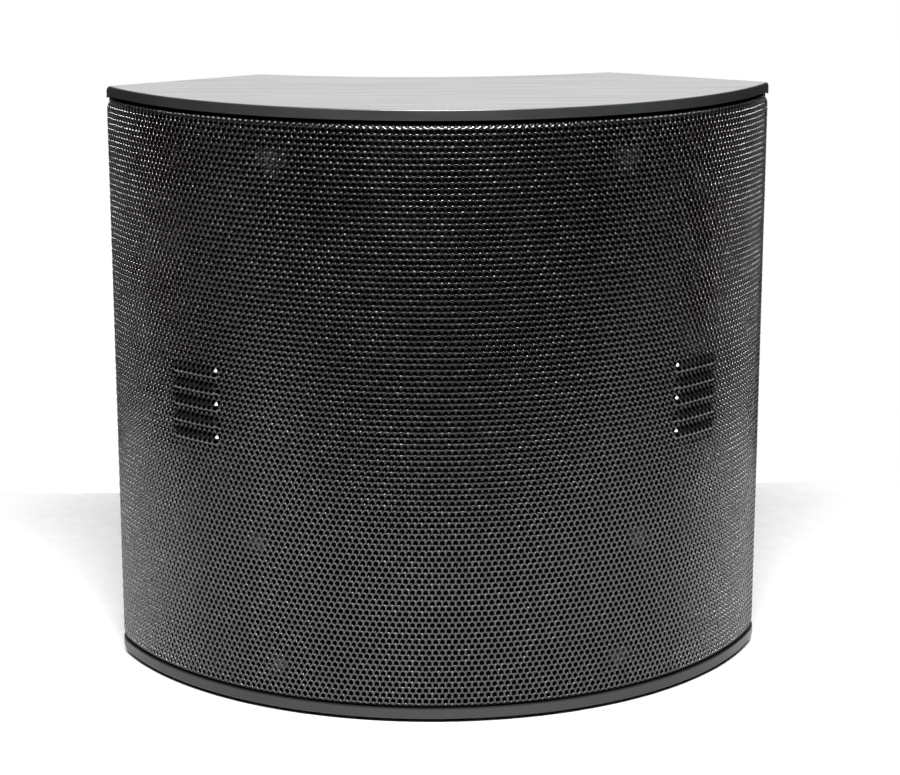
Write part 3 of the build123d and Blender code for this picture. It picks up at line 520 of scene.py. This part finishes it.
# ---- perforated grille ----
def ridge_height(s, w):
    """How far the finger ridges stand out of the face."""
    mid = GRILLE_RADIUS * math.radians(RIDGE_ANGLE)
    half = GRILLE_RADIUS * math.radians(RIDGE_HALF_SPAN)
    off = np.maximum(np.abs(np.abs(s) - mid) - half, 0)
    height = np.zeros_like(s)
    for row in range(RIDGE_COUNT):
        centre = (row - (RIDGE_COUNT - 1) / 2) * RIDGE_PITCH
        away = np.hypot(off, w - centre)
        rise = np.sqrt(np.maximum(RIDGE_RADIUS**2 - away**2, 0)) - RIDGE_SINK
        height = np.maximum(height, rise)
    return height


class Sheet:
    """Maps a flat perforated sheet onto the bowed face, its rolled rim and the flange behind it."""

    def __init__(self):
        run = np.array(SIDE_END) - np.array(SIDE_START)
        run /= np.linalg.norm(run)
        outward = np.array([run[1], -run[0]])
        start = np.array(SIDE_START) + outward * GRILLE_OVERHANG - np.array([0, ARC_Y])
        half = start @ run
        along = -half - math.sqrt(half**2 - start @ start + GRILLE_RADIUS**2)
        meet = start + run * along
        angle = math.atan2(meet[0], -meet[1])
        tangent = np.array([math.cos(angle), math.sin(angle)])
        self.side_turn = math.acos(tangent @ run)
        self.half_width = GRILLE_RADIUS * angle - BEND * math.tan(self.side_turn / 2)
        self.half_height = (GRILLE_Z1 - GRILLE_Z0) / 2 - BEND
        self.middle = (GRILLE_Z0 + GRILLE_Z1) / 2

    def outside(self, s, w):
        """Distance beyond the start of the rim, and the flat direction it is measured in."""
        corner = CORNER - BEND
        qs = np.abs(s) - (self.half_width - corner)
        qw = np.abs(w) - (self.half_height - corner)
        in_corner = (qs > 0) & (qw > 0)
        reach = np.hypot(qs, qw)
        safe = np.where(in_corner, np.maximum(reach, 1e-9), 1)
        side = qs > qw
        ns = np.where(in_corner, qs / safe, np.where(side, 1.0, 0.0))
        nw = np.where(in_corner, qw / safe, np.where(side, 0.0, 1.0))
        distance = np.where(in_corner, reach, np.maximum(qs, qw)) - corner
        return distance, ns * np.sign(s), nw * np.sign(w)

    def place(self, s, w, depth):
        """Points of the bent sheet, depth below its outer face."""
        beyond, ns, nw = self.outside(s, w)
        past = np.clip(beyond, 0, FLANGE)
        clip = np.maximum(beyond, 0)
        base_s = s - ns * clip
        base_w = w - nw * clip
        angle = base_s / GRILLE_RADIUS
        radial = np.stack([np.sin(angle), -np.cos(angle), np.zeros_like(angle)], 1)
        tangent = np.stack([np.cos(angle), np.sin(angle), np.zeros_like(angle)], 1)
        face = radial * GRILLE_RADIUS
        face[:, 1] += ARC_Y
        face[:, 2] = self.middle + base_w
        face += radial * (ridge_height(s, w) * (beyond < 0))[:, None]
        out = tangent * ns[:, None]
        out[:, 2] += nw
        turn = math.pi / 2 - (math.pi / 2 - self.side_turn) * ns**2
        bent = np.minimum(past / BEND, turn)
        straight = np.maximum(past - BEND * turn, 0)
        along_out = BEND * np.sin(bent) + straight * np.cos(turn)
        along_in = BEND * (1 - np.cos(bent)) + straight * np.sin(turn)
        surface = face + out * along_out[:, None] - radial * along_in[:, None]
        normal = radial * np.cos(bent)[:, None] + out * np.sin(bent)[:, None]
        return surface - normal * depth


# A cell of the sheet is a hexagon round one hole. Its corners and the middles of its sides lie on a grid,
# and the second half of its outline mirrors the first through the hole's centre.
HALF_CELL = [(2, 0), (2, 2), (1, 3), (0, 4), (-1, 3), (-2, 2)]
CELL = np.array(HALF_CELL + [(-x, -y) for x, y in HALF_CELL])
STEP_ACROSS = HOLE_PITCH / 4
STEP_UP = HOLE_PITCH / (4 * math.sqrt(3))
KEY_STEP = 100000               # wider than the grid, so that two numbers make one key


def make_cells(sheet):
    """Grid places of the staggered cells that cover the sheet, and which of them have a hole."""
    columns = int((sheet.half_width + FLANGE) / HOLE_PITCH) + 2
    rows = int((sheet.half_height + FLANGE) / (6 * STEP_UP)) + 2
    column, row = np.meshgrid(np.arange(-columns, columns + 1), np.arange(-rows, rows + 1))
    across = (4 * column + 2 * (row % 2)).ravel()
    up = (6 * row).ravel()
    beyond = sheet.outside(across * STEP_ACROSS, up * STEP_UP)[0]
    kept = beyond < FLANGE + EDGE_OVERLAP
    return across[kept], up[kept], beyond[kept] < FLANGE - EDGE_MARGIN


def cell_outlines(across, up):
    """Outline points that neighbouring cells share: their flat places, and their numbers cell by cell."""
    point_across = across[:, None] + CELL[:, 0]
    point_up = up[:, None] + CELL[:, 1]
    key = point_across * KEY_STEP + point_up
    _, first, shared = np.unique(key.ravel(), return_index=True, return_inverse=True)
    s = (point_across * STEP_ACROSS).ravel()[first]
    w = (point_up * STEP_UP).ravel()[first]
    return s, w, shared.reshape(key.shape)


def hole_rings(sheet, hole_s, hole_w):
    """Rings of points down each hole: its rounded front edge, then its rim at the back."""
    angle = np.arange(len(CELL)) * math.pi / (len(CELL) / 2)
    rings = []
    for wider, depth in ROLL + [(0.0, SHEET)]:
        radius = HOLE_RADIUS + wider
        s = (hole_s[:, None] + radius * np.cos(angle)).ravel()
        w = (hole_w[:, None] + radius * np.sin(angle)).ravel()
        rings.append(sheet.place(s, w, depth))
    return rings


def border_edges(shared, count):
    """Edges that only one cell has, so the cut edge of the sheet."""
    edges = np.stack([shared.ravel(), np.roll(shared, -1, 1).ravel()], 1)
    ordered = np.sort(edges, 1)
    key = ordered[:, 0] * count + ordered[:, 1]
    _, back, uses = np.unique(key, return_inverse=True, return_counts=True)
    return edges[uses[back.ravel()] == 1]


def polygon_mesh(name, points, groups):
    """Mesh from points in millimetres and groups of faces, all of a group with as many corners."""
    sizes = np.concatenate([np.full(len(group), group.shape[1]) for group in groups])
    corners = np.concatenate([group.ravel() for group in groups])
    mesh = bpy.data.meshes.new(name)
    mesh.vertices.add(len(points))
    mesh.vertices.foreach_set("co", (points * MM).astype(np.float32).ravel())
    mesh.loops.add(len(corners))
    mesh.loops.foreach_set("vertex_index", corners.astype(np.int32))
    mesh.polygons.add(len(sizes))
    mesh.polygons.foreach_set("loop_start", (np.cumsum(sizes) - sizes).astype(np.int32))
    mesh.update(calc_edges=True)
    mesh.validate()
    return mesh


def make_grille():
    """The whole perforated sheet as one mesh."""
    sheet = Sheet()
    across, up, open_cell = make_cells(sheet)
    s, w, shared = cell_outlines(across, up)
    rings = hole_rings(sheet, across[open_cell] * STEP_ACROSS, up[open_cell] * STEP_UP)
    points = np.concatenate([sheet.place(s, w, 0.0), sheet.place(s, w, SHEET)] + rings)
    count = len(s)

    # an open cell goes from its front outline down the hole to its back outline
    ring = np.arange(len(rings[0])).reshape(-1, len(CELL))
    front = shared[open_cell]
    levels = [front] + [2 * count + n * ring.size + ring for n in range(len(rings))] + [front + count]
    quads = []
    for near, far in zip(levels[:-1], levels[1:]):
        quads.append(np.stack([near, np.roll(near, -1, 1), np.roll(far, -1, 1), far], 2).reshape(-1, 4))
    border = border_edges(shared, count)
    quads.append(np.stack([border[:, 1], border[:, 0], border[:, 0] + count, border[:, 1] + count], 1))
    plain = shared[~open_cell]
    plates = [plain, plain[:, ::-1] + count]

    mesh = polygon_mesh("grille_sheet", points, quads + plates)
    smooth(mesh, crease=42)
    piece = dress(add_object("grille_sheet", mesh), "grille_paint")
    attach(piece, "grille_unit")
    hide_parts("grille")


make_grille()


def make_cloth():
    """Black cloth stretched behind the perforated sheet, left open round the fixing pegs; its near-black
    is painted shade for the dark inside seen through the holes.
    """
    radius = GRILLE_RADIUS - SHEET - CLOTH_GAP
    span = math.radians(CLOTH_HALF_SPAN)
    low, high = GRILLE_Z0 + CLOTH_INSET, GRILLE_Z1 - CLOTH_INSET
    angles = np.linspace(-span, span, CLOTH_COLUMNS + 1)
    heights = np.linspace(low, high, CLOTH_ROWS + 1)
    angle, z = np.meshgrid(angles, heights)
    layers = []
    for r in (radius, radius - CLOTH):
        layers.append(np.stack([r * np.sin(angle), ARC_Y - r * np.cos(angle), z], 2).reshape(-1, 3))
    points = np.concatenate(layers)
    size = len(layers[0])

    x_mid = radius * np.sin((angles[:-1] + angles[1:]) / 2)
    z_mid = (heights[:-1] + heights[1:]) / 2
    kept = np.ones((CLOTH_ROWS, CLOTH_COLUMNS), bool)
    for peg_x, peg_z in PEG_SPOTS:
        for side in (-1, 1):
            kept &= np.hypot(x_mid[None, :] - side * peg_x, z_mid[:, None] - peg_z) > PEG_CLEAR

    faces = []
    edges = []
    for row, column in zip(*np.nonzero(kept)):
        below = int(row * (CLOTH_COLUMNS + 1) + column)
        above = below + CLOTH_COLUMNS + 1
        corners = (below, below + 1, above + 1, above)
        faces.append(corners)
        faces.append(tuple(k + size for k in corners[::-1]))
        edges += zip(corners, corners[1:] + corners[:1])
    inner = set(edges)
    for first, second in edges:
        if (second, first) not in inner:
            faces.append((second, first, first + size, second + size))

    used = np.unique(np.array(faces).ravel())
    order = np.full(len(points), -1)
    order[used] = np.arange(len(used))
    piece = bare_piece("grille_cloth_painted_shade", points[used], [tuple(int(order[k]) for k in f) for f in faces])
    # the cloth's near-black material is painted shade for the unlit inside behind the grille
    piece.data.materials.append(cloth_painted_shade())
    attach(piece, "grille_unit")


make_cloth()


# ---- woofer suspension ----
def sector(name, profile, index, slot):
    """One sector of a turned suspension part, from a closed (radius, y) outline, and its middle angle."""
    width = 2 * math.pi / SECTORS
    middle = (index + 0.5) * width
    points = []
    for step in range(SECTOR_STEPS + 1):
        angle = middle + (step / SECTOR_STEPS - 0.5) * width
        points += [(r * math.sin(angle), y, WOOFER_Z + r * math.cos(angle)) for r, y in profile]
    size = len(profile)
    faces = []
    for step in range(SECTOR_STEPS):
        for k in range(size):
            n = (k + 1) % size
            faces.append((step * size + k, step * size + n, (step + 1) * size + n, (step + 1) * size + k))
    piece = new_piece(f"{name}_{index:02d}", points, faces, slot)
    smooth(piece.data, crease=50)
    return piece, middle


def suspension(name, profile, slot, node):
    """A ring of sectors, reaching from the cone at their inner radius to the basket at their outer one.
    """
    for index in range(SECTORS):
        piece, middle = sector(name, profile, index, slot)
        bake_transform(piece)
        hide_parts(node)


def surround_profile():
    """Half-roll with a flat lip at each side."""
    inner, outer = 94.0, 119.0
    middle, roll, skin = 106.0, 8.0, 1.2
    steps = 14
    arc = [math.pi * n / steps for n in range(steps + 1)]

    def face(y, half_width):
        bulge = [(middle - half_width * math.cos(t), y - roll * math.sin(t)) for t in arc]
        return [(inner, y)] + bulge + [(outer, y)]

    return face(BAFFLE_Y - skin, roll + skin) + face(BAFFLE_Y, roll)[::-1]


def spider_profile():
    """Corrugated disc with flat landings."""
    inner, first, last, outer = 25.6, 28.6, 55.0, 64.0
    waves, lift, skin = 5, 1.6, 0.6
    count = waves * 8
    front = [(inner, SPIDER_Y)]
    for n in range(count + 1):
        r = first + (last - first) * n / count
        front.append((r, SPIDER_Y - lift * math.sin(2 * math.pi * waves * n / count)))
    front.append((outer, SPIDER_Y))
    return front + [(r, y + skin) for r, y in front[::-1]]


suspension("surround", surround_profile(), "rubber", "woofer_surround")
suspension("spider", spider_profile(), "spider_cloth", "woofer_spider")


# ---- wadding ----
def make_pad(name, low, high, up):
    """Soft fibre pad with a crowned, lumpy face and thin pulled edges, lying on its flat side."""
    # shares of the pad's box: the outline, where it starts to thin, the edge's height and the crown's
    shrink = 0.985
    crown_u, crown_v = 0.86, 0.74
    thin, rise = 0.12, 0.8
    u, v = np.meshgrid(np.linspace(-1, 1, PAD_COLUMNS), np.linspace(-1, 1, PAD_ROWS))
    past_u = np.maximum(np.abs(u) - crown_u, 0) / (1 - crown_u)
    past_v = np.maximum(np.abs(v) - crown_v, 0) / (1 - crown_v)
    crown = np.sqrt(1 - np.clip(np.hypot(past_u, past_v), 0, 1) ** 2)
    swell = 0.05
    lumps = swell * np.sin(5 * u + 1.3) * np.sin(4 * v)
    lumps += 0.03 * np.sin(17 * u + 6 * v) + 0.02 * np.sin(29 * v - 11 * u)
    thick = (high[2] - low[2]) * (thin + rise * crown * (1 + lumps - swell))
    x = (low[0] + high[0]) / 2 + u * (high[0] - low[0]) / 2 * shrink
    y = (low[1] + high[1]) / 2 + v * (high[1] - low[1]) / 2 * shrink
    base = low[2] if up > 0 else high[2]
    top = np.stack([x, y, base + up * thick], 2).reshape(-1, 3)
    bottom = np.stack([x, y, np.full_like(x, base)], 2).reshape(-1, 3)

    faces = []
    size = PAD_COLUMNS * PAD_ROWS
    number = np.arange(size).reshape(PAD_ROWS, PAD_COLUMNS)
    for q in number[:-1, :-1].ravel().tolist():
        above = q + PAD_COLUMNS
        faces.append((q, q + 1, above + 1, above))
        faces.append((q + size, above + size, above + 1 + size, q + 1 + size))
    sides = [number[0], number[1:, -1], number[-1, -2::-1], number[-2:0:-1, 0]]
    loop = np.concatenate(sides).tolist()
    for q, n in zip(loop, loop[1:] + loop[:1]):
        faces.append((n, q, q + size, n + size))
    piece = new_piece(name, np.concatenate([top, bottom]), faces, "wadding")
    smooth(piece.data)
    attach(piece, "cabinet")
    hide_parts("damping_pads")


pad_low, pad_high = (np.array(corner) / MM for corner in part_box("damping_pads"))
make_pad("wadding_floor", pad_low, (pad_high[0], pad_high[1], pad_low[2] + PAD), 1)
make_pad("wadding_top", (pad_low[0], pad_low[1], pad_high[2] - PAD), pad_high, -1)


# ---- printed scales on the amplifier plate ----
def flat_bar(x, z, length, width, angle, y, height):
    """Thin raised bar on a face that looks along +Y, centred at x, z and turned by angle from +Z."""
    up = np.array([math.sin(angle), 0, math.cos(angle)])
    side = np.array([math.cos(angle), 0, -math.sin(angle)])
    centre = np.array([x, y, z])
    points = []
    for lift in (0, height):
        for u, v in ((-1, -1), (1, -1), (1, 1), (-1, 1)):
            points.append(centre + side * width / 2 * u + up * length / 2 * v + np.array([0, lift, 0]))
    faces = [(0, 3, 2, 1), (4, 5, 6, 7)] + [(k, (k + 1) % 4, (k + 1) % 4 + 4, k + 4) for k in range(4)]
    return points, faces


def knob_ticks(knob):
    """Eleven ticks round a knob, every fifth one longer and wider."""
    sweep, count = 150, 11
    clear = 13.2                # from the knob's axis to the near end of each tick
    low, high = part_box(knob)
    x, z = (low.x + high.x) / 2 / MM, (low.z + high.z) / 2 / MM
    bars = []
    for tick in range(count):
        angle = math.radians(-sweep + 2 * sweep / (count - 1) * tick)
        length, width = (3.4, 0.7) if tick % 5 == 0 else (2.2, 0.5)
        reach = clear + length / 2
        bars.append((x + reach * math.sin(angle), z + reach * math.cos(angle), length, width, angle))
    return bars


def rule(low, high, z):
    """Level rule as long as a box is wide."""
    return (low.x + high.x) / 2, z, high.x - low.x, RULE, math.pi / 2


def make_marks():
    """Tick marks round both knobs and rules beside the switches and sockets."""
    jack_gap, switch_gap = 2.5, 4.5
    bars = knob_ticks("volume_knob") + knob_ticks("crossover_knob")
    low, high = (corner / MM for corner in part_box("jack_panel"))
    bars += [rule(low, high, low.z - jack_gap), rule(low, high, high.z + jack_gap)]
    low, high = (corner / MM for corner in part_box("switch_frames"))
    bars.append(rule(low, high, low.z - switch_gap))
    points, faces = [], []
    for x, z, length, width, angle in bars:
        bar_points, bar_faces = flat_bar(x, z, length, width, angle, FACE_Y, PRINT)
        faces += [tuple(k + len(points) for k in face) for face in bar_faces]
        points += bar_points
    piece = bare_piece("scale_marks", points, faces)
    piece.data.materials.append(white_print())
    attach(piece, "cabinet")


make_marks()


# ---- floor ----
def make_floor():
    """Pale, plain table top."""
    side, front, back = 0.9, -0.62, 0.5
    corners = [(-side, front, 0), (side, front, 0), (side, back, 0), (-side, back, 0)]
    mesh = bpy.data.meshes.new("floor")
    mesh.from_pydata(corners, [], [(0, 1, 2, 3)])
    look = Look("pale_floor", roughness=0.7)
    look.tone(look.noise(14, 3), (0.3, 0.3, 0.3), 0.01)
    look.roughen(look.noise(60), 0.6, 0.8)
    mesh.materials.append(look.material)
    add_object("floor", mesh)


make_floor()


# ---- light ----
def softbox(name, where, aim, size, power):
    """Rectangular lamp that the camera doesn't see."""
    light = bpy.data.lights.new(name, "AREA")
    light.shape = "RECTANGLE"
    light.size, light.size_y = size
    light.energy = power
    lamp = add_object(name, light)
    lamp.location = where
    lamp.rotation_mode = "QUATERNION"
    lamp.rotation_quaternion = (Vector(aim) - Vector(where)).to_track_quat("-Z", "Y")
    lamp.visible_camera = False


def make_world():
    """White surroundings to the eye; for light they are bright behind, dark in front and below."""
    world = bpy.data.worlds.new("studio")
    bpy.context.scene.world = world
    world.use_nodes = True
    tree = world.node_tree
    tree.nodes.clear()

    def add(kind, **settings):
        node = tree.nodes.new(kind)
        for key, value in settings.items():
            setattr(node, key, value)
        return node

    place = add("ShaderNodeTexCoord")
    split = add("ShaderNodeSeparateXYZ")
    tree.links.new(place.outputs["Generated"], split.inputs[0])

    def ease(axis, start, end, low, high):
        """Eases from low to high as the direction's axis goes from start to end."""
        node = add("ShaderNodeMapRange", interpolation_type="SMOOTHSTEP")
        for key, value in {"From Min": start, "From Max": end, "To Min": low, "To Max": high}.items():
            node.inputs[key].default_value = value
        tree.links.new(split.outputs[axis], node.inputs["Value"])
        return node.outputs["Result"]

    both = add("ShaderNodeMath", operation="MULTIPLY")
    tree.links.new(ease("Y", 0.62, 0.93, 0.03, 2.7), both.inputs[0])
    tree.links.new(ease("Z", -0.1, 0.1, 0.04, 1.0), both.inputs[1])
    studio = add("ShaderNodeBackground")
    tree.links.new(both.outputs[0], studio.inputs["Strength"])
    white = add("ShaderNodeBackground")
    white.inputs["Strength"].default_value = 1.0
    white.inputs["Color"].default_value = (1, 1, 1, 1)
    path = add("ShaderNodeLightPath")
    mix = add("ShaderNodeMixShader")
    tree.links.new(path.outputs["Is Camera Ray"], mix.inputs[0])
    tree.links.new(studio.outputs[0], mix.inputs[1])
    tree.links.new(white.outputs[0], mix.inputs[2])
    out = add("ShaderNodeOutputWorld")
    tree.links.new(mix.outputs[0], out.inputs["Surface"])


make_world()
softbox("key", where=(-0.03, -1.2, 1.7), aim=(0, -0.1, 0.25), size=(0.9, 0.35), power=210)
softbox("overhead", where=(0, 0.2, 1.3), aim=(0, 0.2, 0), size=(1.4, 0.7), power=8)
softbox("rear", where=(0.25, 0.95, 2.0), aim=(0, 0.1, 0.2), size=(0.8, 0.3), power=28)


# ---- camera ----
LOOK_DOWN, LOOK_RIGHT = 0.2358, 0.0559      # radians from level and from +Y
camera_data = bpy.data.cameras.new("camera")
camera_data.sensor_width = 36
camera_data.lens = 96
camera = add_object("camera", camera_data)
camera.location = (-0.0929, -1.7483, 0.6417)
camera.rotation_euler = (math.pi / 2 - LOOK_DOWN, 0, -LOOK_RIGHT)
bpy.context.scene.camera = camera
bpy.context.scene.view_settings.view_transform = "Standard"
